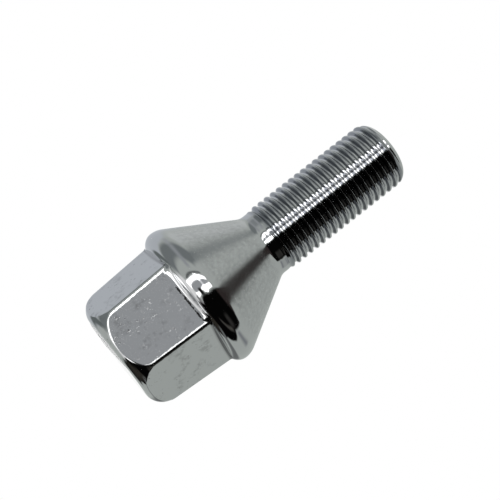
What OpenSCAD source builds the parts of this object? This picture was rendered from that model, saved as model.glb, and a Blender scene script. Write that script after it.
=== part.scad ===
// Wheel bolt with a tall hexagon head, a round rim, a 60 degree cone seat and a metric fine thread.
// It stands on the end face of its head: that face is at z = 0, and +Z runs along the bolt to the tip.
// The helix of the thread is fine detail and is left to the visual model, so the shank here
// is the cylinder over the crests.

/* [Hexagon head] */

// Distance across two opposite flats, at the foot of the hexagon
across_flats = 23.1; // [20:0.1:24]
// Height of the ledge behind the flats above the end face
head_l = 16.5; // [12:0.05:22]
// Taper of each flat towards the end face, in degrees
flat_draft = 3; // [0:0.25:4]
// Depth by which the six long corners are rounded down
corner_relief = 0.1; // [0.05:0.05:0.5]
// Radius of the turned rounding round the end face
end_round = 3.9; // [2:0.1:5]
// Radius of the hollow between the flats and the ledge
ledge_fillet = 0.6; // [0.4:0.1:1.9]

/* [Rim and cone seat] */

// Diameter of the rim at its widest
rim_d = 29.4; // [28:0.1:32]
// Radius of the rim towards the head
rim_head_round = 2.5; // [1.2:0.1:3]
// Radius of the rim towards the cone
rim_seat_round = 4.4; // [3:0.1:6]
// Full angle of the cone seat, in degrees
seat_angle = 60; // [56:1:70]
// Radius of the hollow where the cone runs into the neck
neck_fillet = 2.5; // [1:0.1:4]

/* [Shank] */

// Diameter over the crests of the thread
thread_d = 13.9; // [13.6:0.05:14.4]
// Pitch of the thread, which is also the length of its run-out beside the neck
thread_pitch = 1.5; // [1:0.25:2]
// Diameter of the neck between the cone and the thread
neck_d = 13.2; // [12.4:0.1:13.5]
// Length of the neck
neck_l = 1.5; // [1:0.1:5]
// Length from the foot of the cone to the tip
shank_l = 31.4; // [24:0.1:45]
// Radius of the rounding at the tip
tip_round = 3; // [1:0.1:5]

/* [Hidden] */

$fn = 96;

// Radii that follow from the diameters.
flat_r = across_flats / 2;
rim_r = rim_d / 2;
thread_r = thread_d / 2;
neck_r = neck_d / 2;

// The long corners lean in towards the end face a little more than the flats do.
corner_slope = tan(flat_draft) / cos(30);
corner_lean = atan(corner_slope);
corner_foot_r = flat_r / cos(30) - corner_relief;
corner_end_r = corner_foot_r - head_l * corner_slope;

// Centre of the rounding round the end face, in the half plane of radius and height.
end_centre_r = corner_end_r + end_round * corner_slope - end_round / cos(corner_lean);

// Widest point of the rim, and the point where its rounding runs into the cone.
half_angle = seat_angle / 2;
rim_z = head_l + rim_head_round;
seat_top_r = rim_r - rim_seat_round * (1 - cos(half_angle));
seat_top_z = rim_z + rim_seat_round * sin(half_angle);

// Foot of the cone, where its line reaches the neck.
seat_foot_z = seat_top_z + (seat_top_r - neck_r) / tan(half_angle);
fillet_run = neck_fillet * tan(half_angle / 2);

// Shank.
thread_z = seat_foot_z + neck_l;
tip_z = seat_foot_z + shank_l;

steel = [0.62, 0.63, 0.64];

// Half section of the head before its flats are cut: a slightly leaning side and a round end.
// It runs on into the rim, so that the corners are sunk in it.
module head_section() {
    polygon([
        [0, 0],
        [end_centre_r, 0],
        [end_centre_r, end_round],
        [end_centre_r + end_round * cos(corner_lean), end_round - end_round * sin(corner_lean)],
        [corner_foot_r + rim_head_round * corner_slope, rim_z],
        [0, rim_z]
    ]);
    intersection() {
        translate([end_centre_r, end_round]) circle(r = end_round);
        square([corner_foot_r, end_round]);
    }
}

// One flat: a block that leans with the taper and takes away what lies outside the flat.
module flat_cutter() {
    translate([flat_r, 0, head_l])
        rotate([0, flat_draft, 0])
            translate([0, -rim_d, -2 * head_l])
                cube([rim_d, 2 * rim_d, 3 * head_l]);
}

module hexagon_head() {
    difference() {
        rotate_extrude() head_section();
        for (i = [0:5]) rotate([0, 0, 60 * i]) flat_cutter();
    }
}

// Half section of the rim: the hollow behind the flats, the ledge and the two roundings.
module rim_section() {
    difference() {
        translate([0, head_l - ledge_fillet]) square([flat_r + ledge_fillet, 2 * ledge_fillet]);
        translate([flat_r + ledge_fillet, head_l - ledge_fillet]) circle(r = ledge_fillet);
    }
    translate([0, head_l]) square([rim_r - rim_head_round, rim_head_round]);
    translate([rim_r - rim_head_round, rim_z]) circle(r = rim_head_round);
    intersection() {
        translate([rim_r - rim_seat_round, rim_z]) circle(r = rim_seat_round);
        translate([0, rim_z]) square([rim_d, seat_top_z - rim_z]);
    }
}

// Half section of the cone, from inside the rim to the neck, with the hollow at its foot.
module seat_section() {
    difference() {
        polygon([
            [0, rim_z],
            [rim_r - rim_seat_round, rim_z],
            [seat_top_r, seat_top_z],
            [neck_r + fillet_run * sin(half_angle), seat_foot_z - fillet_run * cos(half_angle)],
            [neck_r + neck_fillet, seat_foot_z + fillet_run],
            [0, seat_foot_z + fillet_run]
        ]);
        translate([neck_r + neck_fillet, seat_foot_z + fillet_run]) circle(r = neck_fillet);
    }
}

// Half section of the neck and the shank, with the run-out of the thread and the round tip.
module shank_section() {
    polygon([
        [0, rim_z],
        [neck_r, rim_z],
        [neck_r, thread_z],
        [thread_r, thread_z + thread_pitch],
        [thread_r, tip_z - tip_round],
        [thread_r - tip_round, tip_z - tip_round],
        [thread_r - tip_round, tip_z],
        [0, tip_z]
    ]);
    intersection() {
        translate([thread_r - tip_round, tip_z - tip_round]) circle(r = tip_round);
        translate([thread_r - tip_round, tip_z - 2 * tip_round]) square([tip_round, 2 * tip_round]);
    }
}

module wheel_bolt() {
    color(steel) union() {
        hexagon_head();
        rotate_extrude() rim_section();
        rotate_extrude() seat_section();
        rotate_extrude() shank_section();
    }
}

wheel_bolt();
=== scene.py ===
# %% [markdown]
# # A plated wheel bolt, standing on the end of its head
# The bolt is one forged and rolled piece of steel with a bright plated finish. It has a tall hexagon head
# with a turned end, a round rim, a 60 degree cone seat, a short neck and a fine right-hand thread.
# The imported CAD model gives its place and size, so the first step loads that model as a fixed frame.
# The finished bolt has to stay inside it.

# %% Load the frame
import math

import bmesh
import bpy
from mathutils import Matrix, Vector


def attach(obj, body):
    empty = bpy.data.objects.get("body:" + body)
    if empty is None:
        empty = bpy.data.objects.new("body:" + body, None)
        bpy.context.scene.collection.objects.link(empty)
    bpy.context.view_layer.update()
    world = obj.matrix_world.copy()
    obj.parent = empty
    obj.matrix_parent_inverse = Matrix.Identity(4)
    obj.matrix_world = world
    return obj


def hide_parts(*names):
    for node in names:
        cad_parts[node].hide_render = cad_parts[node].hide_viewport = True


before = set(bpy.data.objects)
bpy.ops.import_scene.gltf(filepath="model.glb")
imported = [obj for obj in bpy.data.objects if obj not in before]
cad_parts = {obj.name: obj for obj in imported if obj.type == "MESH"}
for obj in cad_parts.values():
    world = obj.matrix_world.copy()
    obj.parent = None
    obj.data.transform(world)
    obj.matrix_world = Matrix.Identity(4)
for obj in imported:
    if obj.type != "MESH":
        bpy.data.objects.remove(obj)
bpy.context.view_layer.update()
scene = bpy.context.scene

# %% [markdown]
# ## Sizes
# A bolt like this is drawn in millimetres, and Blender works in metres, so one factor turns the first
# into the second. The sizes are the ones that the CAD model was made from, and two things are new. The
# turned end gets a short cone after its rounding, and the edges get small roundings, because a forged edge
# is never quite sharp and a bright metal shows every edge as a thin light line.

# %% Sizes in millimetres
MM = 0.001

# The head, and the turned end with the lean of its short cone.
ACROSS_FLATS = 23.1
HEAD_LENGTH = 16.5
FLAT_LEAN = math.radians(3)
END_ROUND = 4.0
END_LEAN = math.radians(20)
CONE_SETBACK = 0.15

# The rim, the cone seat and the hollow at its foot.
RIM_RADIUS = 14.7
RIM_HEAD_ROUND = 2.5
RIM_SEAT_ROUND = 4.4
SEAT_LEAN = math.radians(30)
SEAT_HOLLOW = 2.5

# The neck and the shank.
THREAD_RADIUS = 6.95
PITCH = 1.5
NECK_RADIUS = 6.6
NECK_LENGTH = 1.5
SHANK_LENGTH = 31.4
TIP_ROUND = 3.0

# The small roundings: along the hexagon's corners, and where the turned end meets a flat.
ROLL_OFF = 0.65
ROLL_OFF_LEAN = math.radians(7)
CORNER_ARC = 0.28
ARC_EDGE = 0.25
FLAT_EDGE = 0.55

# What follows from these sizes.
HALF_FLAT = ACROSS_FLATS / 2
SECTOR = math.radians(30)
CORNER_RELIEF = 0.1
CORNER_FOOT = HALF_FLAT / math.cos(SECTOR) - CORNER_RELIEF
CORNER_SLOPE = math.tan(FLAT_LEAN) / math.cos(SECTOR)
CORNER_TOUCH = math.hypot(1, CORNER_SLOPE) - CORNER_SLOPE
END_CENTRE = CORNER_FOOT - HEAD_LENGTH * CORNER_SLOPE - CORNER_TOUCH * END_ROUND - CONE_SETBACK
LEDGE_EDGE = RIM_RADIUS - RIM_HEAD_ROUND
RIM_HEIGHT = HEAD_LENGTH + RIM_HEAD_ROUND
SEAT_TOP = RIM_RADIUS - RIM_SEAT_ROUND * (1 - math.cos(SEAT_LEAN))
SEAT_TOP_HEIGHT = RIM_HEIGHT + RIM_SEAT_ROUND * math.sin(SEAT_LEAN)
SEAT_FOOT_HEIGHT = SEAT_TOP_HEIGHT + (SEAT_TOP - NECK_RADIUS) / math.tan(SEAT_LEAN)
HOLLOW_RUN = SEAT_HOLLOW * math.tan(SEAT_LEAN / 2)
THREAD_START = SEAT_FOOT_HEIGHT + NECK_LENGTH
TIP_HEIGHT = SEAT_FOOT_HEIGHT + SHANK_LENGTH
print("Corner", round(CORNER_FOOT, 3), "end centre", round(END_CENTRE, 3),
      "thread from", round(THREAD_START, 3), "to", round(TIP_HEIGHT, 3))

# %% [markdown]
# ## Where the columns of faces stand
# The head, rim and cone are one skin of four-sided faces, laid out in columns round the axis and rows
# along it. A hexagon needs many narrow columns at its six corners and few in the middle of its flats,
# so the columns of half a flat are listed once and mirrored. The thread wants even columns. The two
# layouts melt into each other on the cone, which is round, so nothing shows there.

# %% Columns round the axis
# Degrees from the middle of a flat to its corner.
HALF_FLAT_COLUMNS = (0, 4.5, 9, 13.2, 17, 20.4, 23, 24.8, 25.8, 26.6, 27.3, 27.9,
                     28.5, 28.95, 29.33, 29.67, 30)
HALF = len(HALF_FLAT_COLUMNS) - 1
COLUMNS = 12 * HALF


def column_angle(column):
    """Angle of a column from the middle of its own flat, and its azimuth, both in radians."""
    sector, place = divmod(column, 2 * HALF)
    if place <= HALF:
        turn = HALF_FLAT_COLUMNS[place]
        return math.radians(turn), math.radians(60 * sector + turn)
    turn = HALF_FLAT_COLUMNS[2 * HALF - place]
    return math.radians(turn), math.radians(60 * sector + 60 - turn)


EVEN_STEP = 2 * math.pi / COLUMNS
print(COLUMNS, "columns")

# %% [markdown]
# ## The section of the head
# Each column follows the edge of a section through the bolt. On the head this is the flat end face, the
# turned rounding with its short cone, the flat and the hollow behind it, and where one gives way to the
# next depends on the angle: the turned part runs higher at the corners, which leaves the arcs on the flats.
# Boolean cuts could make the same shape, but they leave long thin faces that spoil the reflections in
# bright metal. A section worked out for each column puts a row of faces exactly on every edge.

# %% The rounded corner of the hexagon
CORNER_STEPS = 60


def corner_profile(steps):
    """Points (distance from the sharp corner, depth below the flat) up to the corner's middle."""
    along, depth = [0.0], [0.0]
    length = ROLL_OFF + CORNER_ARC
    for i in range(steps):
        s = (i + 0.5) * length / steps
        if s < ROLL_OFF:
            lean = ROLL_OFF_LEAN * s / ROLL_OFF
        else:
            lean = ROLL_OFF_LEAN + (SECTOR - ROLL_OFF_LEAN) * (s - ROLL_OFF) / CORNER_ARC
        along.append(along[-1] + math.cos(lean) * length / steps)
        depth.append(depth[-1] + math.sin(lean) * length / steps)
    middle = depth[-1] * math.tan(SECTOR)
    return [(along[-1] - a + middle, d) for a, d in zip(along, depth)]


CORNER = corner_profile(CORNER_STEPS)
print("The roll-off starts", round(CORNER[0][0], 2), "mm from the corner, which is",
      round(CORNER[-1][1] / math.cos(SECTOR), 3), "mm lower")


# %% Helpers for the section
SAME_ANGLE = 1e-9
SEARCH_STEPS = 50


def side_radius(turn, height):
    """Distance of the hexagon's side from the axis, at an angle from the middle of a flat."""
    flat = HALF_FLAT - (HEAD_LENGTH - height) * math.tan(FLAT_LEAN)
    if (CORNER[0][0] - flat * math.tan(SECTOR)) + flat * math.tan(turn) <= 0:
        return flat / math.cos(turn)
    before = CORNER[0]
    for point in CORNER[1:]:
        across, out = flat * math.tan(SECTOR) - point[0], flat - point[1]
        if math.atan2(across, out) >= turn - SAME_ANGLE:
            break
        before = point
    start = (flat - before[1], flat * math.tan(SECTOR) - before[0])
    step = (out - start[0], across - start[1])
    share = ((start[0] * math.sin(turn) - start[1] * math.cos(turn))
             / (step[1] * math.cos(turn) - step[0] * math.sin(turn)))
    return math.hypot(start[0] + share * step[0], start[1] + share * step[1])


def arc_point(centre, radius, angle):
    return centre[0] + radius * math.cos(angle), centre[1] + radius * math.sin(angle)


def end_round_point(angle):
    """Point of the turned end: a rounding up from the end face, then a short cone out to the corners."""
    if angle <= -END_LEAN:
        return arc_point((END_CENTRE, END_ROUND), END_ROUND, angle)
    start = arc_point((END_CENTRE, END_ROUND), END_ROUND, -END_LEAN)
    run = END_ROUND * (angle + END_LEAN)
    return start[0] + run * math.sin(END_LEAN), start[1] + run * math.cos(END_LEAN)


def ledge_point(run):
    """Point of the ledge, counted outwards from where it bends into the rim's first rounding."""
    if run < 0:
        return LEDGE_EDGE + run, HEAD_LENGTH
    return arc_point((LEDGE_EDGE, RIM_HEIGHT), RIM_HEAD_ROUND, run / RIM_HEAD_ROUND - math.pi / 2)


def crossing(low, high, difference):
    """Where a rising difference changes sign, or the nearer end if it doesn't."""
    if difference(low) >= 0:
        return low
    if difference(high) <= 0:
        return high
    for _ in range(SEARCH_STEPS):
        middle = (low + high) / 2
        if difference(middle) < 0:
            low = middle
        else:
            high = middle
    return (low + high) / 2


def bend(start, corner, end, steps, pull=1.0):
    """Points of a rounding from start to end, pulled towards the corner; the start is left out."""
    points = []
    for i in range(1, steps + 1):
        s = i / steps
        weights = ((1 - s) ** 2, 2 * pull * s * (1 - s), s ** 2)
        points.append(tuple(sum(w * p[axis] for w, p in zip(weights, (start, corner, end))) / sum(weights)
                            for axis in (0, 1)))
    return points


def spread(start, end, shares):
    return [start + (end - start) * share for share in shares]


print("At the end face a flat stands", round(side_radius(0, 0), 2), "mm from the axis, and a corner",
      round(side_radius(SECTOR, 0), 2), "mm")


# %% The section of the head for one column
# Where the rows lie on each stretch, as shares of it, and how many there are in the two bends.
END_FACE_SHARES = (0.25, 0.5, 0.72, 0.88, 1)
ARC_SHARES = [i / 14 for i in range(1, 14)] + [0.975, 1]
FLAT_SHARES = (0.02, 0.06, 0.12, 0.2, 0.3, 0.4, 0.5, 0.6, 0.7, 0.8, 0.88, 0.95, 0.985)
LEDGE_SHARES = (0.04, 0.2, 0.4, 0.6, 0.8, 1)
ARC_EDGE_STEPS = 6
HOLLOW_BEND_STEPS = 9

# Where the ledge's stretch ends, and how far a search goes along the ledge and round the turned end.
LEDGE_END = 1.6
LEDGE_REACH = 3
HIGHEST_ARC = 0.2

# The hollows behind the flats: the front flat's is wide and even, the others are crescents.
HOLLOW_PULL = 0.72
FRONT_FLAT = 4
WIDE_HOLLOW = 1.25
WIDE_UP_TO = math.radians(25)
CRESCENT_HOLLOW = 0.75
CORNER_HOLLOW = 0.4


def hollow_radius(sector, turn):
    """Radius of the hollow behind a flat: one flat has an even, wide one, the others a small crescent."""
    if sector == FRONT_FLAT:
        share = min(max((turn - WIDE_UP_TO) / (SECTOR - WIDE_UP_TO), 0), 1)
        return WIDE_HOLLOW - (WIDE_HOLLOW - CORNER_HOLLOW) * share * share * (3 - 2 * share)
    return CRESCENT_HOLLOW - (CRESCENT_HOLLOW - CORNER_HOLLOW) * (turn / SECTOR) ** 2


def head_section(sector, turn):
    """Points (radius, height) of the head's skin at an angle from the middle of a flat."""
    points = [(share * END_CENTRE, 0.0) for share in END_FACE_SHARES]
    meet = crossing(-math.pi / 2, HIGHEST_ARC,
                    lambda angle: end_round_point(angle)[0] - side_radius(turn, end_round_point(angle)[1]))
    last = meet - ARC_EDGE / END_ROUND
    points += [end_round_point(angle) for angle in spread(-math.pi / 2, last, ARC_SHARES)]
    corner = end_round_point(meet)
    low = corner[1] + FLAT_EDGE
    points += bend(points[-1], corner, (side_radius(turn, low), low), ARC_EDGE_STEPS)

    hollow = hollow_radius(sector, turn)
    foot = crossing(-LEDGE_REACH, LEDGE_REACH,
                    lambda run: ledge_point(run)[0] - side_radius(turn, ledge_point(run)[1]))
    height = ledge_point(foot)[1]
    high = height - hollow
    points += [(side_radius(turn, z), z) for z in spread(low, high, FLAT_SHARES + (1,))]
    points += bend(points[-1], (side_radius(turn, height), height), ledge_point(foot + hollow),
                   HOLLOW_BEND_STEPS, HOLLOW_PULL)
    points += [ledge_point(run) for run in spread(foot + hollow, LEDGE_END, LEDGE_SHARES)]
    return points


print("The head's section has", len(head_section(0, 0.0)), "points")

# %% [markdown]
# ## The rim, the cone and the neck
# From the ledge on the bolt is round, so one section serves every column. The rim is two roundings that
# meet at its widest point, and the second one runs into the cone without an edge. A hollow leads from the
# cone into the neck. In a cone the columns can slide round without changing the shape, and there the
# uneven columns of the hexagon become the even columns of the thread.

# %% The round section
ROUND_STEPS = 14
SEAT_ROUND_STEPS = 10
CONE_STEPS = 10
HOLLOW_STEPS = 7
NECK_SHARES = (0.3, 0.65, 1)


def round_section():
    """Points (radius, height, share of even columns) from the rim to the end of the neck."""
    start = LEDGE_END / RIM_HEAD_ROUND - math.pi / 2
    points = []
    for i in range(1, ROUND_STEPS + 1):
        angle = start * (1 - i / ROUND_STEPS)
        points.append((*arc_point((LEDGE_EDGE, RIM_HEIGHT), RIM_HEAD_ROUND, angle), 0))
    for i in range(1, SEAT_ROUND_STEPS + 1):
        angle = SEAT_LEAN * i / SEAT_ROUND_STEPS
        points.append((*arc_point((RIM_RADIUS - RIM_SEAT_ROUND, RIM_HEIGHT), RIM_SEAT_ROUND, angle), 0))
    top = (SEAT_TOP, SEAT_TOP_HEIGHT)
    foot = (NECK_RADIUS + HOLLOW_RUN * math.sin(SEAT_LEAN),
            SEAT_FOOT_HEIGHT - HOLLOW_RUN * math.cos(SEAT_LEAN))
    for i in range(1, CONE_STEPS + 1):
        s = i / CONE_STEPS
        points.append((top[0] + s * (foot[0] - top[0]), top[1] + s * (foot[1] - top[1]), s))
    centre = (NECK_RADIUS + SEAT_HOLLOW, SEAT_FOOT_HEIGHT + HOLLOW_RUN)
    for i in range(1, HOLLOW_STEPS + 1):
        angle = math.pi + SEAT_LEAN * (1 - i / HOLLOW_STEPS)
        points.append((*arc_point(centre, SEAT_HOLLOW, angle), 1))
    neck_from = points[-1][1]
    points += [(NECK_RADIUS, height, 1) for height in spread(neck_from, THREAD_START, NECK_SHARES)]
    return points


def column_point(radius, height, azimuth):
    return (MM * radius * math.cos(azimuth), MM * radius * math.sin(azimuth), MM * height)


def lay_skin(name, rows, first_pole=None, last_pole=None):
    """Mesh of rows of points, one for each column, closed round the axis and at a pole if there is one."""
    points = [p for row in rows for p in row]
    faces = []
    for i in range(len(rows) - 1):
        a, b = i * COLUMNS, (i + 1) * COLUMNS
        faces += [(a + k, a + (k + 1) % COLUMNS, b + (k + 1) % COLUMNS, b + k) for k in range(COLUMNS)]
    if first_pole:
        faces += [(len(points), (k + 1) % COLUMNS, k) for k in range(COLUMNS)]
        points.append(first_pole)
    if last_pole:
        last = (len(rows) - 1) * COLUMNS
        faces += [(len(points), last + k, last + (k + 1) % COLUMNS) for k in range(COLUMNS)]
        points.append(last_pole)
    mesh = bpy.data.meshes.new(name)
    mesh.from_pydata(points, [], faces)
    mesh.update()
    print(name, "has", len(points), "points and", len(faces), "faces")
    return mesh


def body_rows():
    columns = [column_angle(k) for k in range(COLUMNS)]
    sectors = [((k + HALF) // (2 * HALF)) % 6 for k in range(COLUMNS)]
    sections = [head_section(sector, turn) for sector, (turn, azimuth) in zip(sectors, columns)]
    rows = [[column_point(*section[i], azimuth) for section, (turn, azimuth) in zip(sections, columns)]
            for i in range(len(sections[0]))]
    for radius, height, even in round_section():
        rows.append([column_point(radius, height, azimuth + even * (k * EVEN_STEP - azimuth))
                     for k, (turn, azimuth) in enumerate(columns)])
    return rows


body_mesh = lay_skin("bolt_body", body_rows(), first_pole=(0, 0, 0))

# %% [markdown]
# ## The thread
# A rolled thread is a 60 degree groove that winds up the shank, with a small flat on its crests and a
# round root. It could be a coil made with the Screw modifier, but its ends would need cutting. Geometry
# Nodes suit it better: a grid is one pitch wide and as long as all the turns, and each of its points is
# sent to its angle, height and radius. Each turn's edge meets the next one's, and merging them makes one
# skin. The groove fades in at the neck, and the round tip cuts it away, because both only change the radius.

# %% Helpers for node trees
def new_group(name, inputs):
    """Geometry Nodes tree with named inputs and one geometry output, and its input and output nodes."""
    group = bpy.data.node_groups.new(name, "GeometryNodeTree")
    group.interface.new_socket("Geometry", in_out="OUTPUT", socket_type="NodeSocketGeometry")
    for label, kind in inputs:
        group.interface.new_socket(label, in_out="INPUT", socket_type=kind)
    return group, group.nodes.new("NodeGroupInput"), group.nodes.new("NodeGroupOutput")


def join(tree, value, socket):
    """Links a socket, or sets a plain value."""
    if isinstance(value, bpy.types.NodeSocket):
        tree.links.new(value, socket)
    else:
        socket.default_value = value


def add_node(tree, kind, inputs, **settings):
    """Adds a node, makes its settings, and links or sets its inputs by name."""
    node = tree.nodes.new(kind)
    for key, value in settings.items():
        setattr(node, key, value)
    for key, value in inputs.items():
        join(tree, value, node.inputs[key])
    return node


def calculate(tree, operation, *values):
    node = add_node(tree, "ShaderNodeMath", {}, operation=operation)
    for value, socket in zip(values, node.inputs):
        join(tree, value, socket)
    return node.outputs[0]


def set_inputs(modifier, values):
    """Sets a modifier's inputs by the identifiers of their sockets."""
    for item in modifier.node_group.interface.items_tree:
        if item.item_type == "SOCKET" and item.in_out == "INPUT":
            modifier[item.identifier] = values[item.name]


# %% The thread's tree
THREAD_INPUTS = [(label, "NodeSocketFloat") for label in (
    "Pitch", "Crest radius", "Root radius", "Neck radius", "Crest share", "Root share", "First crest",
    "Start", "End", "Run-out", "Tip centre radius", "Tip centre height", "Tip rounding", "Tip blend",
    "Edge rounding", "Weld")]
THREAD_INPUTS += [(label, "NodeSocketInt") for label in ("Turns", "Steps round", "Steps across")]
THREAD_INPUTS += [("Finish", "NodeSocketMaterial")]


def share_up(tree, size, across):
    """How far a point lies from root to crest, with rounded edges; across is nothing in the root's middle."""
    from_root = calculate(tree, "ABSOLUTE", across)
    half_root = calculate(tree, "MULTIPLY", size["Root share"], 0.5)
    half_crest = calculate(tree, "MULTIPLY", size["Crest share"], 0.5)
    flank = calculate(tree, "SUBTRACT", calculate(tree, "SUBTRACT", 0.5, half_root), half_crest)
    up = calculate(tree, "DIVIDE", calculate(tree, "SUBTRACT", from_root, half_root), flank)
    up = calculate(tree, "SMOOTH_MAX", up, 0, size["Edge rounding"])
    return calculate(tree, "SMOOTH_MIN", up, 1, size["Edge rounding"])


def thread_radius(tree, size, across, height):
    """Radius of the groove, which fades in at the neck and is cut away by the round tip."""
    depth = calculate(tree, "SUBTRACT", size["Crest radius"], size["Root radius"])
    rolled = calculate(tree, "MULTIPLY_ADD", share_up(tree, size, across), depth, size["Root radius"])

    fade = calculate(tree, "DIVIDE", calculate(tree, "SUBTRACT", height, size["Start"]), size["Run-out"])
    fade = calculate(tree, "MINIMUM", fade, 1)
    above_neck = calculate(tree, "SUBTRACT", rolled, size["Neck radius"])
    radius = calculate(tree, "MULTIPLY_ADD", fade, above_neck, size["Neck radius"])

    over = calculate(tree, "MAXIMUM", calculate(tree, "SUBTRACT", height, size["Tip centre height"]), 0)
    square = calculate(tree, "SUBTRACT",
                       calculate(tree, "MULTIPLY", size["Tip rounding"], size["Tip rounding"]),
                       calculate(tree, "MULTIPLY", over, over))
    tip = calculate(tree, "ADD", calculate(tree, "SQRT", square), size["Tip centre radius"])
    return calculate(tree, "SMOOTH_MIN", radius, tip, size["Tip blend"])


def thread_tree():
    tree, given, result = new_group("helical_thread", THREAD_INPUTS)
    size = given.outputs
    steps = calculate(tree, "MULTIPLY", size["Turns"], size["Steps round"])
    grid = add_node(tree, "GeometryNodeMeshGrid", {
        "Size X": 1, "Size Y": 1, "Vertices X": calculate(tree, "ADD", steps, 1),
        "Vertices Y": calculate(tree, "ADD", size["Steps across"], 1)})

    position = tree.nodes.new("GeometryNodeInputPosition").outputs[0]
    flat = add_node(tree, "ShaderNodeSeparateXYZ", {"Vector": position}).outputs
    turn = calculate(tree, "MULTIPLY", calculate(tree, "ADD", flat["X"], 0.5), size["Turns"])
    across = calculate(tree, "ADD", flat["Y"], 0.5)
    pitches = calculate(tree, "ADD", turn, across)
    rise = calculate(tree, "MULTIPLY_ADD", pitches, size["Pitch"], size["First crest"])
    height = calculate(tree, "MINIMUM", calculate(tree, "MAXIMUM", rise, size["Start"]), size["End"])
    radius = thread_radius(tree, size, flat["Y"], height)

    angle = calculate(tree, "MULTIPLY", turn, 2 * math.pi)
    target = add_node(tree, "ShaderNodeCombineXYZ", {
        "X": calculate(tree, "MULTIPLY", radius, calculate(tree, "COSINE", angle)),
        "Y": calculate(tree, "MULTIPLY", radius, calculate(tree, "SINE", angle)), "Z": height})
    sent = add_node(tree, "GeometryNodeSetPosition", {
        "Geometry": grid.outputs["Mesh"], "Position": target.outputs[0]})
    welded = add_node(tree, "GeometryNodeMergeByDistance", {
        "Geometry": sent.outputs[0], "Distance": size["Weld"]})
    real = add_node(tree, "GeometryNodeRealizeInstances", {"Geometry": welded.outputs[0]})
    finish = add_node(tree, "GeometryNodeSetMaterial", {
        "Geometry": real.outputs[0], "Material": size["Finish"]})
    join(tree, finish.outputs[0], result.inputs[0])
    print("The thread's tree has", len(tree.nodes), "nodes")
    return tree


# %% The thread as a plain mesh
ROOT_RADIUS = 6.3
CREST_SHARE = 0.21
ROOT_SHARE = 0.23
EDGE_ROUNDING = 0.18
RUN_OUT = 2.2
TIP_BLEND = 0.05
TIP_CAP = 0.76
THREAD_END = TIP_HEIGHT - TIP_CAP
TURNS = 21
STEPS_ACROSS = 16
STRIP_WELD = 0.001

# Azimuth of the camera in degrees, and the height of one crest as the camera sees it.
CAMERA_AZIMUTH = -112.4
CREST_FROM_CAMERA = 48.574
first_crest = (CREST_FROM_CAMERA - PITCH * CAMERA_AZIMUTH / 360) % PITCH
first_crest += PITCH * math.floor((THREAD_START - PITCH - first_crest) / PITCH)

plating = bpy.data.materials.new("bright_plating")


def thread_mesh():
    holder = bpy.data.objects.new("thread_holder", bpy.data.meshes.new("thread_holder"))
    scene.collection.objects.link(holder)
    modifier = holder.modifiers.new("Thread", "NODES")
    modifier.node_group = thread_tree()
    set_inputs(modifier, {
        "Pitch": PITCH * MM, "Crest radius": THREAD_RADIUS * MM, "Root radius": ROOT_RADIUS * MM,
        "Neck radius": NECK_RADIUS * MM, "Crest share": CREST_SHARE, "Root share": ROOT_SHARE,
        "First crest": first_crest * MM, "Start": THREAD_START * MM, "End": THREAD_END * MM,
        "Run-out": RUN_OUT * MM, "Tip centre radius": (THREAD_RADIUS - TIP_ROUND) * MM,
        "Tip centre height": (TIP_HEIGHT - TIP_ROUND) * MM, "Tip rounding": TIP_ROUND * MM,
        "Tip blend": TIP_BLEND * MM, "Edge rounding": EDGE_ROUNDING, "Weld": STRIP_WELD * MM,
        "Turns": TURNS, "Steps round": COLUMNS, "Steps across": STEPS_ACROSS, "Finish": plating})
    depsgraph = bpy.context.evaluated_depsgraph_get()
    mesh = bpy.data.meshes.new_from_object(holder.evaluated_get(depsgraph))
    holder.modifiers.remove(modifier)
    bpy.data.objects.remove(holder)
    print("thread has", len(mesh.vertices), "points and", len(mesh.polygons), "faces")
    return mesh


helix_mesh = thread_mesh()

# %% [markdown]
# ## The tip, and one closed skin
# Where the thread ends, the round tip still has to close towards its flat face. After that the three skins
# are joined and their touching rims welded, so that the bolt is one closed surface. The normals are made
# consistent, and three numbers prove the result: no open edge, a positive volume and the number of triangles.

# %% The tip
TIP_STEPS = 8
TIP_FACE_SHARES = (0.75, 0.45, 0.2)


def tip_rows():
    centre = (THREAD_RADIUS - TIP_ROUND, TIP_HEIGHT - TIP_ROUND)
    start = math.asin((THREAD_END - centre[1]) / TIP_ROUND)
    points = [arc_point(centre, TIP_ROUND, angle)
              for angle in spread(start, math.pi / 2, [i / TIP_STEPS for i in range(TIP_STEPS + 1)])]
    points += [(centre[0] * share, TIP_HEIGHT) for share in TIP_FACE_SHARES]
    return [[column_point(radius, height, k * EVEN_STEP) for k in range(COLUMNS)]
            for radius, height in points]


tip_mesh = lay_skin("bolt_tip", tip_rows(), last_pole=(0, 0, TIP_HEIGHT * MM))


# %% Weld the three skins
SKIN_WELD = 0.002
SHORTEST_EDGE = 0.0005


def weld_skins(name, meshes):
    bm = bmesh.new()
    for mesh in meshes:
        bm.from_mesh(mesh)
        bpy.data.meshes.remove(mesh)
    bmesh.ops.remove_doubles(bm, verts=bm.verts, dist=SKIN_WELD * MM)
    bmesh.ops.dissolve_degenerate(bm, edges=bm.edges, dist=SHORTEST_EDGE * MM)
    bmesh.ops.recalc_face_normals(bm, faces=bm.faces)
    for face in bm.faces:
        face.smooth = True
        face.material_index = 0
    open_edges = sum(1 for edge in bm.edges if len(edge.link_faces) != 2)
    loose = sum(1 for vert in bm.verts if not vert.link_faces)
    triangles = sum(len(face.verts) - 2 for face in bm.faces)
    print(name, "open edges", open_edges, "loose points", loose, "volume",
          round(bm.calc_volume(signed=True) / MM ** 3, 1), "mm3, triangles", triangles)
    mesh = bpy.data.meshes.new(name)
    bm.to_mesh(mesh)
    bm.free()
    mesh.materials.clear()
    mesh.materials.append(plating)
    piece = bpy.data.objects.new(name, mesh)
    scene.collection.objects.link(piece)
    return piece


bolt = weld_skins("plated_bolt", [body_mesh, helix_mesh, tip_mesh])

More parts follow.
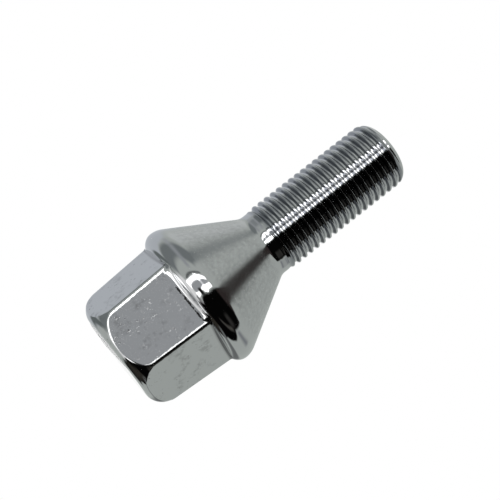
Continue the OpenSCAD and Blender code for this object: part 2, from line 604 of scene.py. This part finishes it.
# %% [markdown]
# ## The camera
# The bolt stands upright in the frame, and the photograph shows it slanting up to the right. So the camera
# stands beside the bolt, about level with the end of its head, and is rolled until the axis rises by 38
# degrees. Its distance and lens come from how much smaller the tip looks than the head. The camera's own
# right and up directions are worked out from the bolt's axis and its sideways direction in the picture.

# %% Camera
AXIS_RISE = math.radians(38)
CAMERA_DROP = math.radians(9.57)
CAMERA_DISTANCE = 246.7
AIM_HEIGHT = 32.25
AIM_SIDE = -0.78
FOCAL_PIXELS = 1300
PICTURE_WIDTH = 500
SENSOR_WIDTH = 36
NEAREST_SEEN = 0.01
FARTHEST_SEEN = 20

azimuth = math.radians(CAMERA_AZIMUTH)
towards = Vector((math.cos(azimuth), math.sin(azimuth), 0))
sideways = Vector((-math.sin(azimuth), math.cos(azimuth), 0))
up = Vector((0, 0, 1))

back = towards * math.cos(CAMERA_DROP) - up * math.sin(CAMERA_DROP)
along = towards * math.sin(CAMERA_DROP) + up * math.cos(CAMERA_DROP)
camera_right = along * math.cos(AXIS_RISE) + sideways * math.sin(AXIS_RISE)
camera_up = along * math.sin(AXIS_RISE) - sideways * math.cos(AXIS_RISE)
place = (up * AIM_HEIGHT + sideways * AIM_SIDE + back * CAMERA_DISTANCE) * MM

camera_data = bpy.data.cameras.new("camera")
camera_data.sensor_width = SENSOR_WIDTH
camera_data.lens = SENSOR_WIDTH * FOCAL_PIXELS / PICTURE_WIDTH
camera_data.clip_start = NEAREST_SEEN
camera_data.clip_end = FARTHEST_SEEN
camera = bpy.data.objects.new("camera", camera_data)
turned = Matrix((camera_right, camera_up, back)).transposed()
camera.matrix_world = Matrix.Translation(place) @ turned.to_4x4()
scene.collection.objects.link(camera)
scene.camera = camera
print("Lens", round(camera_data.lens, 1), "mm, camera at",
      [round(c / MM, 1) for c in camera.location], "mm")

# %% [markdown]
# ## The plating
# The finish is a thin bright metal layer over steel that was forged and rolled before. It copies each
# fault below it: low waves on the flats, fine pits and worn edges. A ragged, nearly black and rough line
# runs along the foot of one flat. So the shader is a plain metal, and what makes it look real is small
# changes in its height, roughness and colour. Part of the colour is painted shade, darker in the thread's
# grooves and in the hollows behind the other five flats. They are all worked out from the object's own
# coordinates, in millimetres, and from three attributes of the mesh that tell how near a point is to a
# corner of the hexagon, to that line or to the hollow behind a flat, which gets the painted shade.

# %% Edges, foot line and the painted shade of the hollows as attributes
EDGE_DEPTH = 0.25
WORN_EDGE = 1.6
LINE_DEPTH = 0.8
LINE_PAST_FLAT = 0.45
LINE_WIDTH = 0.4
NOTICED = 0.02

# Where the foot line is full, in degrees before its flat's middle, and over how many it fades in.
LINE_START = 8
LINE_FADE = 6


def near(distance, width):
    """1 at a distance of nothing, falling to nothing at the width."""
    share = max(1 - abs(distance) / width, 0)
    return share * share * (3 - 2 * share)


def mark_wear_and_shade(mesh):
    edge, foot_line, hollow_shade = [], [], []
    for vertex in mesh.vertices:
        x, y, z = (c / MM for c in vertex.co)
        radius, turned = math.hypot(x, y), math.degrees(math.atan2(y, x)) % 360
        sector, signed = round(turned / 60) % 6, (turned + 30) % 60 - 30
        turn = math.radians(abs(signed))
        if z > RIM_HEIGHT:
            edge.append(0)
            foot_line.append(0)
            hollow_shade.append(0)
            continue
        side = side_radius(turn, min(z, HEAD_LENGTH))
        on_side = near(radius - side, EDGE_DEPTH)
        beside = near(radius - side, LINE_DEPTH)
        hollow = hollow_radius(sector, turn)
        start = near(max(-signed - LINE_START, 0), LINE_FADE) if sector == FRONT_FLAT else 0
        edge.append(on_side * near(HALF_FLAT * (math.tan(SECTOR) - math.tan(turn)), WORN_EDGE))
        foot_line.append(beside * start * near(z - HEAD_LENGTH + hollow - LINE_PAST_FLAT, LINE_WIDTH))
        # The third mark is painted shade in the hollows behind the five flats other than the front one.
        hollow_shade.append(near(math.hypot(radius - side, z - HEAD_LENGTH), hollow) if sector != FRONT_FLAT else 0)
    for name, values in (("edge", edge), ("foot_line", foot_line), ("hollow_shade", hollow_shade)):
        mesh.attributes.new(name, "FLOAT", "POINT").data.foreach_set("value", values)
        print(name, "is on", sum(1 for v in values if v > NOTICED), "points")


mark_wear_and_shade(bolt.data)


# %% Helpers for shaders
def remap(tree, value, low, high, to_low=0.0, to_high=1.0):
    return add_node(tree, "ShaderNodeMapRange", {"Value": value, "From Min": low, "From Max": high,
                                                 "To Min": to_low, "To Max": to_high}).outputs["Result"]


def noise(tree, place, scale, detail=2.0, roughness=0.5):
    return add_node(tree, "ShaderNodeTexNoise", {"Vector": place, "Scale": scale, "Detail": detail,
                                                 "Roughness": roughness}).outputs["Fac"]


def mix_colours(tree, share, first, second):
    node = add_node(tree, "ShaderNodeMix", {}, data_type="RGBA")
    join(tree, share, node.inputs[0])
    join(tree, first, node.inputs[6])
    join(tree, second, node.inputs[7])
    return node.outputs[2]


def bump(tree, height, depth, below=None):
    """Bump of a depth in metres, laid over another bump if there is one."""
    inputs = {"Height": height, "Distance": depth, "Strength": 1.0}
    if below:
        inputs["Normal"] = below
    return add_node(tree, "ShaderNodeBump", inputs).outputs[0]


# %% Where each finish lies
# Each pair is where a finish starts and where it is full, in millimetres past a size of the bolt. The crest
# and root pairs bound the painted shade in the thread's grooves.
THREAD_FADE = (0, 1)
CREST_FADE = (0.01, -0.09)
ROOT_FADE = (0.02, 0.1)
SEAT_SATIN_FROM = (-0.4, 1.2)
SEAT_SATIN_TO = (-0.4, -1.6)
HEAD_FADE = (-0.5, -1.5)

plating.use_nodes = True
tree = plating.node_tree
coordinates = tree.nodes.new("ShaderNodeTexCoord").outputs["Object"]
spot = add_node(tree, "ShaderNodeMapping", {"Vector": coordinates, "Scale": [1 / MM] * 3}).outputs["Vector"]
place = add_node(tree, "ShaderNodeSeparateXYZ", {"Vector": spot}).outputs
squares = [calculate(tree, "MULTIPLY", place[axis], place[axis]) for axis in ("X", "Y")]
from_axis = calculate(tree, "SQRT", calculate(tree, "ADD", *squares))
edge, foot_line, hollow_shade = (add_node(tree, "ShaderNodeAttribute", {}, attribute_name=name).outputs["Fac"]
                         for name in ("edge", "foot_line", "hollow_shade"))

seat_from = remap(tree, place["Z"], *(SEAT_TOP_HEIGHT + z for z in SEAT_SATIN_FROM))
seat_to = remap(tree, place["Z"], *(SEAT_FOOT_HEIGHT + z for z in SEAT_SATIN_TO))
on_seat = calculate(tree, "MULTIPLY", seat_from, seat_to)
on_head = remap(tree, place["Z"], *(HEAD_LENGTH + z for z in HEAD_FADE))
on_thread = remap(tree, place["Z"], *(THREAD_START + z for z in THREAD_FADE))
below_crest = remap(tree, from_axis, *(THREAD_RADIUS + r for r in CREST_FADE))
above_root = remap(tree, from_axis, *(ROOT_RADIUS + r for r in ROOT_FADE))
# The grooves of the thread get painted shade: a darker colour in place of the shade that their ridges cast.
groove_painted_shade = calculate(tree, "MULTIPLY", calculate(tree, "MULTIPLY", below_crest, above_root), on_thread)
print("Places and masks take", len(tree.nodes), "nodes")

# %% Waves, grain, stains and pits
# A noise gives values round a half. Mapping a narrow range of it to 0 and 1 leaves patches with soft edges.
waves = noise(tree, spot, 0.55, 1.0)
grain = noise(tree, spot, 3.2, 3.0, 0.6)
mottle = noise(tree, spot, 1.3, 3.0, 0.6)
stains = calculate(tree, "MULTIPLY", remap(tree, noise(tree, spot, 0.42, 2.0), 0.53, 0.66), on_head)
stains = calculate(tree, "MULTIPLY", stains, remap(tree, mottle, 0.42, 0.6))
pits = calculate(tree, "MULTIPLY", remap(tree, noise(tree, spot, 1.9, 2.0, 0.6), 0.63, 0.7), on_head)
pits = calculate(tree, "MULTIPLY", pits, remap(tree, noise(tree, spot, 0.35, 1.0), 0.5, 0.6))
# A ragged line at the foot of the front flat, nearly black in colour and rough.
ragged = calculate(tree, "ADD", foot_line, remap(tree, noise(tree, spot, 1.7, 3.0, 0.7), 0.3, 0.7))
ragged = remap(tree, ragged, 1.05, 1.2)
dents = calculate(tree, "MULTIPLY", noise(tree, spot, 1.1, 2.0, 0.6), edge)
print("With the patterns there are", len(tree.nodes), "nodes")

# %% Roughness and colour
BRIGHT_ROUGHNESS = (0.04, 0.075)
SATIN_ROUGHNESS = (0.11, 0.17)
FOOT_LINE_ROUGHNESS = 0.4
CLOUD_STRENGTH = 0.35
STAIN_STRENGTH = 0.45
PLATING_COLOUR = (0.62, 0.625, 0.63, 1)
# The next colour is painted shade in the thread's grooves.
GROOVE_SHADE_COLOUR = (0.33, 0.34, 0.36, 1)
CLOUD_COLOUR = (0.4, 0.405, 0.41, 1)
PIT_COLOUR = (0.3, 0.3, 0.3, 1)
# The next colour is painted shade in the hollows behind five of the flats.
HOLLOW_SHADE_COLOUR = (0.22, 0.22, 0.22, 1)
FOOT_LINE_COLOUR = (0.03, 0.03, 0.03, 1)

satin = calculate(tree, "MULTIPLY", on_seat, remap(tree, mottle, 0.3, 0.7, *SATIN_ROUGHNESS))
roughness = calculate(tree, "ADD", remap(tree, grain, 0.3, 0.7, *BRIGHT_ROUGHNESS), satin)
roughness = calculate(tree, "ADD", roughness, calculate(tree, "MULTIPLY", ragged, FOOT_LINE_ROUGHNESS))
cloudy = calculate(tree, "MULTIPLY", remap(tree, mottle, 0.35, 0.65, 0.0, CLOUD_STRENGTH), on_seat)
stained = calculate(tree, "MULTIPLY", stains, STAIN_STRENGTH)
colour = PLATING_COLOUR
for share, layer in ((groove_painted_shade, GROOVE_SHADE_COLOUR), (cloudy, CLOUD_COLOUR), (stained, PIT_COLOUR),
                     (pits, PIT_COLOUR), (hollow_shade, HOLLOW_SHADE_COLOUR), (ragged, FOOT_LINE_COLOUR)):
    colour = mix_colours(tree, share, colour, layer)
print("With roughness and colour there are", len(tree.nodes), "nodes")

# %% Bumps and the shader
WAVE_DEPTH = 0.004
DENT_DEPTH = 0.03
GRAIN_DEPTH = 0.0006
SEAT_GRAIN_DEPTH = 0.003
PIT_DEPTH = 0.004

grain_depth = calculate(tree, "MULTIPLY_ADD", on_seat, SEAT_GRAIN_DEPTH * MM, GRAIN_DEPTH * MM)
surface = bump(tree, waves, WAVE_DEPTH * MM)
surface = bump(tree, dents, DENT_DEPTH * MM, surface)
surface = bump(tree, grain, grain_depth, surface)
surface = bump(tree, pits, -PIT_DEPTH * MM, surface)

shader = tree.nodes["Principled BSDF"]
shader.inputs["Metallic"].default_value = 1
join(tree, colour, shader.inputs["Base Color"])
join(tree, roughness, shader.inputs["Roughness"])
join(tree, surface, shader.inputs["Normal"])
print("The plating has", len(tree.nodes), "nodes")

# %% [markdown]
# ## The studio
# Bright metal has hardly a colour of its own: what it shows is the room. The bolt was lit by two narrow
# light strips close to the camera, with a dark cloth on one side and grey walls round the rest, and that
# is what makes its bright and dark bands. The cards are drawn on the inside of one large ball. Each is
# a shape in azimuth, counted from the camera, and elevation above the bolt's waist, with soft edges.
# The ball shows only in reflections, and the lamps and the world light the floor.

# %% Cards round the bolt
# Each card has a colour, the softness of its edges in degrees, and rows of elevation, first and last azimuth.
CARDS = (
    ("upper left wall", (0.62, 0.645, 0.64), 7, ((24, -178, -122), (40, -165, -112), (62, -140, -104))),
    ("slate gap", (0.21, 0.23, 0.235), 9, ((-62, -126, -72), (-35, -116, -66), (-10, -108, -64),
                                           (15, -103, -64), (28, -102, -54), (40, -97, -46),
                                           (60, -88, -64))),
    ("lighter gap", (0.36, 0.38, 0.4), 6, ((11, -98, -43), (22, -98, -43))),
    ("wall by the gap", (0.42, 0.44, 0.46), 6, ((10, -118, -98), (20, -116, -98))),
    ("left wall", (0.56, 0.59, 0.63), 7, ((-48, -150, -128), (-25, -172, -115), (0, -178, -112),
                                          (18, -165, -122))),
    ("lower left shade", (0.16, 0.18, 0.18), 5, ((-56, -132, -105), (-48, -145, -120), (-36, -162, -140),
                                                 (-26, -174, -160))),
    ("seam of the wall", (0.13, 0.14, 0.14), 2, ((-50, -41, -36), (-20, -37, -32), (10, -35, -31),
                                                 (40, -31, -27))),
    ("table by the cloth", (0.3, 0.3, 0.3), 4, ((-90, -5, 60), (-66, -5, 60))),
    ("between the strips", (0.41, 0.425, 0.44), 2, ((-62, -29, -2), (-40, -26, -2), (-10, -20, -6),
                                                    (42, -17, -8))),
    ("glow between the strips", (0.9, 0.92, 0.94), 1.5, ((12, -19, -7), (20, -19, -7))),
    ("first strip", (3.4, 3.4, 3.4), 2, ((-70, -55, -26), (-58, -42, -28), (-40, -32, -24), (-20, -29, -22),
                                         (7, -27.5, -20), (9.3, -30.5, -25.5), (11, -30.5, -25.5),
                                         (12, -28.5, -18), (18, -28.5, -18), (21, -26, -19),
                                         (30, -25, -18), (44, -20, -14))),
    ("second strip", (3.4, 3.4, 3.4), 1.5, ((-2, -7, 1), (8, -7, 1), (10, -8, 3.5), (18, -8, 3.5),
                                            (21, -7, 1), (46, -7, 1.5))),
    ("strips at the thread", (7, 7, 7), 1.5, ((12, -28, -18), (17, -28, -18))),
    ("second strip at the thread", (7, 7, 7), 1.5, ((11, -7, 2.5), (17, -7, 2.5))),
    ("second strip, dim", (2, 2, 2), 1, ((-13, -6, -3), (1, -7, -2))),
    ("second strip, low", (2.5, 2.5, 2.5), 2, ((-70, -12, 6), (-55, -6, 3), (-36, -5, 0))),
    ("notch", (0.02, 0.02, 0.02), 2, ((-34, -10, 4), (-12, -8, 4))),
    ("dark cloth", (0.002, 0.002, 0.002), 3, ((-86, 45, 135), (-78, 38, 168), (-70, 30, 172), (-62, 15, 172),
                                              (-52, 8, 172), (-44, 5, 108), (-40, 4, 106), (-22, 3, 99),
                                              (-10, 3, 97), (5, 4, 88), (12, 5, 79), (20, 5, 81), (40, 5, 87),
                                              (60, 10, 60), (72, 20, 52), (85, 30, 50))),
    ("warm cloth overhead", (0.035, 0.028, 0.027), 4, ((50, 9, 76), (60, 12, 60), (72, 22, 50),
                                                       (85, 32, 48))),
    ("cloth above the thread", (0.03, 0.027, 0.026), 2, ((64, 66, 72), (68, 40, 80), (71, 8, 85),
                                                         (80, 8, 85))),
    ("end of the cloth", (0.02, 0.02, 0.018), 2, ((-60, 130, 176), (-45, 158, 177), (-36, 164, 177))),
    ("brown of the cloth", (0.035, 0.032, 0.026), 6, ((-72, 95, 170), (-54, 95, 165))),
    ("fold of the cloth", (0.08, 0.076, 0.068), 5, ((-34, 50, 58), (-15, 62, 71), (6, 68, 78))),
    ("fold at the neck", (0.035, 0.034, 0.032), 6, ((8, 46, 72), (20, 46, 72))),
    ("right wall, dim", (0.22, 0.23, 0.25), 6, ((12, 84, 124), (21, 84, 124))),
    ("right gap", (0.17, 0.18, 0.18), 5, ((-58, 98, 122), (-45, 118, 140), (-27, 134, 156), (-6, 158, 176))),
    ("back light", (1.2, 1.2, 1.2), 5, ((-4, 166, 194), (8, 166, 194))),
)
WALL = (0.5, 0.53, 0.51)
RIGHT_WALL = (0.475, 0.505, 0.485)
TABLE = (1.0, 1.0, 1.0)
WALL_FADE = 20
TABLE_EDGE = -66
TABLE_FADE = 6
BALL_RADIUS = 5.0
BALL_STEP = 1


def soft_step(value, softness):
    """0 outside an edge and 1 inside it, with a soft change as wide as twice the softness."""
    share = min(max(value / (2 * softness) + 0.5, 0), 1)
    return share * share * (3 - 2 * share)


def edges_at(rows, elevation):
    """First and last azimuth of a card at an elevation, between its rows."""
    if elevation <= rows[0][0]:
        return rows[0][1:]
    for low, high in zip(rows, rows[1:]):
        if elevation <= high[0]:
            share = (elevation - low[0]) / (high[0] - low[0])
            return [a + share * (b - a) for a, b in zip(low[1:], high[1:])]
    return rows[-1][1:]


def cover(rows, softness, azimuth, elevation):
    first, last = edges_at(rows, elevation)
    ends = soft_step(elevation - rows[0][0], softness) * soft_step(rows[-1][0] - elevation, softness)
    sides = max(soft_step(a - first, softness) * soft_step(last - a, softness)
                for a in (azimuth, azimuth + 360))
    return ends * sides


def blend_colour(below, above, share):
    return [b + share * (a - b) for b, a in zip(below, above)]


def studio_colour(azimuth, elevation):
    colour = blend_colour(WALL, RIGHT_WALL, soft_step(azimuth, WALL_FADE))
    colour = blend_colour(colour, TABLE, soft_step(TABLE_EDGE - elevation, TABLE_FADE))
    for name, card_colour, softness, rows in CARDS:
        colour = blend_colour(colour, card_colour, cover(rows, softness, azimuth, elevation))
    return colour


def studio_ball():
    across, down = 360 // BALL_STEP, 180 // BALL_STEP
    points, colours, faces = [], [], []
    for j in range(down + 1):
        elevation = -90 + j * BALL_STEP
        for i in range(across):
            turn = -180 + i * BALL_STEP
            a, e = math.radians(turn + CAMERA_AZIMUTH), math.radians(elevation)
            points.append((BALL_RADIUS * math.cos(e) * math.cos(a), BALL_RADIUS * math.cos(e) * math.sin(a),
                           BALL_RADIUS * math.sin(e) + AIM_HEIGHT * MM))
            colours += [*studio_colour(turn, elevation), 1]
    for j in range(down):
        for i in range(across):
            a, b = j * across, (j + 1) * across
            n = (i + 1) % across
            faces.append((a + i, b + i, b + n, a + n))
    mesh = bpy.data.meshes.new("studio_ball")
    mesh.from_pydata(points, [], faces)
    mesh.color_attributes.new("card", "FLOAT_COLOR", "POINT").data.foreach_set("color", colours)
    ball = bpy.data.objects.new("studio_ball", mesh)
    scene.collection.objects.link(ball)
    material = bpy.data.materials.new("studio_cards")
    material.use_nodes = True
    nodes, links = material.node_tree.nodes, material.node_tree.links
    nodes.remove(nodes["Principled BSDF"])
    card = nodes.new("ShaderNodeVertexColor")
    card.layer_name = "card"
    glow = nodes.new("ShaderNodeEmission")
    links.new(card.outputs["Color"], glow.inputs["Color"])
    links.new(glow.outputs[0], nodes["Material Output"].inputs["Surface"])
    material.cycles.emission_sampling = "NONE"
    mesh.materials.append(material)
    ball.visible_camera = ball.visible_diffuse = ball.visible_shadow = False
    print("The studio has", len(CARDS), "cards on", len(faces), "faces")
    return ball


ball = studio_ball()

# %% [markdown]
# ## The floor, the lamp and the background
# The floor is plain and pale, and it keeps the bolt's shadow. The camera stands slightly below it, so the
# floor is clear from its underside. One large lamp overhead gives the soft shadow, and the metal doesn't
# show it, because the studio's cards already give its reflections. The background could be a white wall,
# but a world of strength 1 that only the camera and mirrors see is simpler, and it adds no light.

# %% Floor
FLOOR_REACH = 3
FLOOR_COLOUR = (0.86, 0.86, 0.86, 1)
FLOOR_ROUGHNESS = 0.8

floor_mesh = bpy.data.meshes.new("floor")
floor_corners = [(x * FLOOR_REACH, y * FLOOR_REACH, 0) for x, y in ((-1, -1), (1, -1), (1, 1), (-1, 1))]
floor_mesh.from_pydata(floor_corners, [], [(0, 1, 2, 3)])
floor = bpy.data.objects.new("floor", floor_mesh)
scene.collection.objects.link(floor)
pale = bpy.data.materials.new("pale_floor")
pale.use_nodes = True
nodes, links = pale.node_tree.nodes, pale.node_tree.links
nodes["Principled BSDF"].inputs["Base Color"].default_value = FLOOR_COLOUR
nodes["Principled BSDF"].inputs["Roughness"].default_value = FLOOR_ROUGHNESS
seen_from_below = nodes.new("ShaderNodeNewGeometry")
clear = nodes.new("ShaderNodeBsdfTransparent")
mix = nodes.new("ShaderNodeMixShader")
links.new(seen_from_below.outputs["Backfacing"], mix.inputs[0])
links.new(nodes["Principled BSDF"].outputs[0], mix.inputs[1])
links.new(clear.outputs[0], mix.inputs[2])
links.new(mix.outputs[0], nodes["Material Output"].inputs["Surface"])
floor_mesh.materials.append(pale)
floor.visible_glossy = False
print("The floor is", 2 * FLOOR_REACH, "m wide")

# %% World and lamp
ROOM_COLOUR = (0.6, 0.6, 0.6, 1)
BACKGROUND_COLOUR = (1, 1, 1, 1)
LAMP_SIZE = 0.5
LAMP_POWER = 3.5
LAMP_PLACE = (-0.35, -0.2, 0.85)

world = bpy.data.worlds.new("studio")
scene.world = world
world.use_nodes = True
tree = world.node_tree
ray = tree.nodes.new("ShaderNodeLightPath")
seen = calculate(tree, "ADD", ray.outputs["Is Camera Ray"], ray.outputs["Is Glossy Ray"])
seen = calculate(tree, "ADD", seen, ray.outputs["Is Transmission Ray"])
seen = calculate(tree, "MINIMUM", seen, 1)
room = add_node(tree, "ShaderNodeBackground", {"Color": ROOM_COLOUR, "Strength": 1.0})
white = add_node(tree, "ShaderNodeBackground", {"Color": BACKGROUND_COLOUR, "Strength": 1.0})
mix = add_node(tree, "ShaderNodeMixShader", {"Fac": seen})
tree.links.new(room.outputs[0], mix.inputs[1])
tree.links.new(white.outputs[0], mix.inputs[2])
for node in [n for n in tree.nodes if n.bl_idname == "ShaderNodeOutputWorld"]:
    tree.links.new(mix.outputs[0], node.inputs["Surface"])

lamp_data = bpy.data.lights.new("soft_lamp", "AREA")
lamp_data.shape = "SQUARE"
lamp_data.size = LAMP_SIZE
lamp_data.energy = LAMP_POWER
lamp = bpy.data.objects.new("soft_lamp", lamp_data)
lamp.location = LAMP_PLACE
lamp.rotation_euler = Vector(LAMP_PLACE).to_track_quat("Z", "Y").to_euler()
lamp.visible_glossy = False
scene.collection.objects.link(lamp)
scene.view_settings.view_transform = "Standard"
print("The lamp gives", LAMP_POWER, "W from", LAMP_PLACE)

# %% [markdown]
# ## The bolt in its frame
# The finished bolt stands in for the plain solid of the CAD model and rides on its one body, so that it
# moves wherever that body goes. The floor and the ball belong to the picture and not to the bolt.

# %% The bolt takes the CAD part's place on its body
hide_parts("wheel_bolt")
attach(bolt, "root")
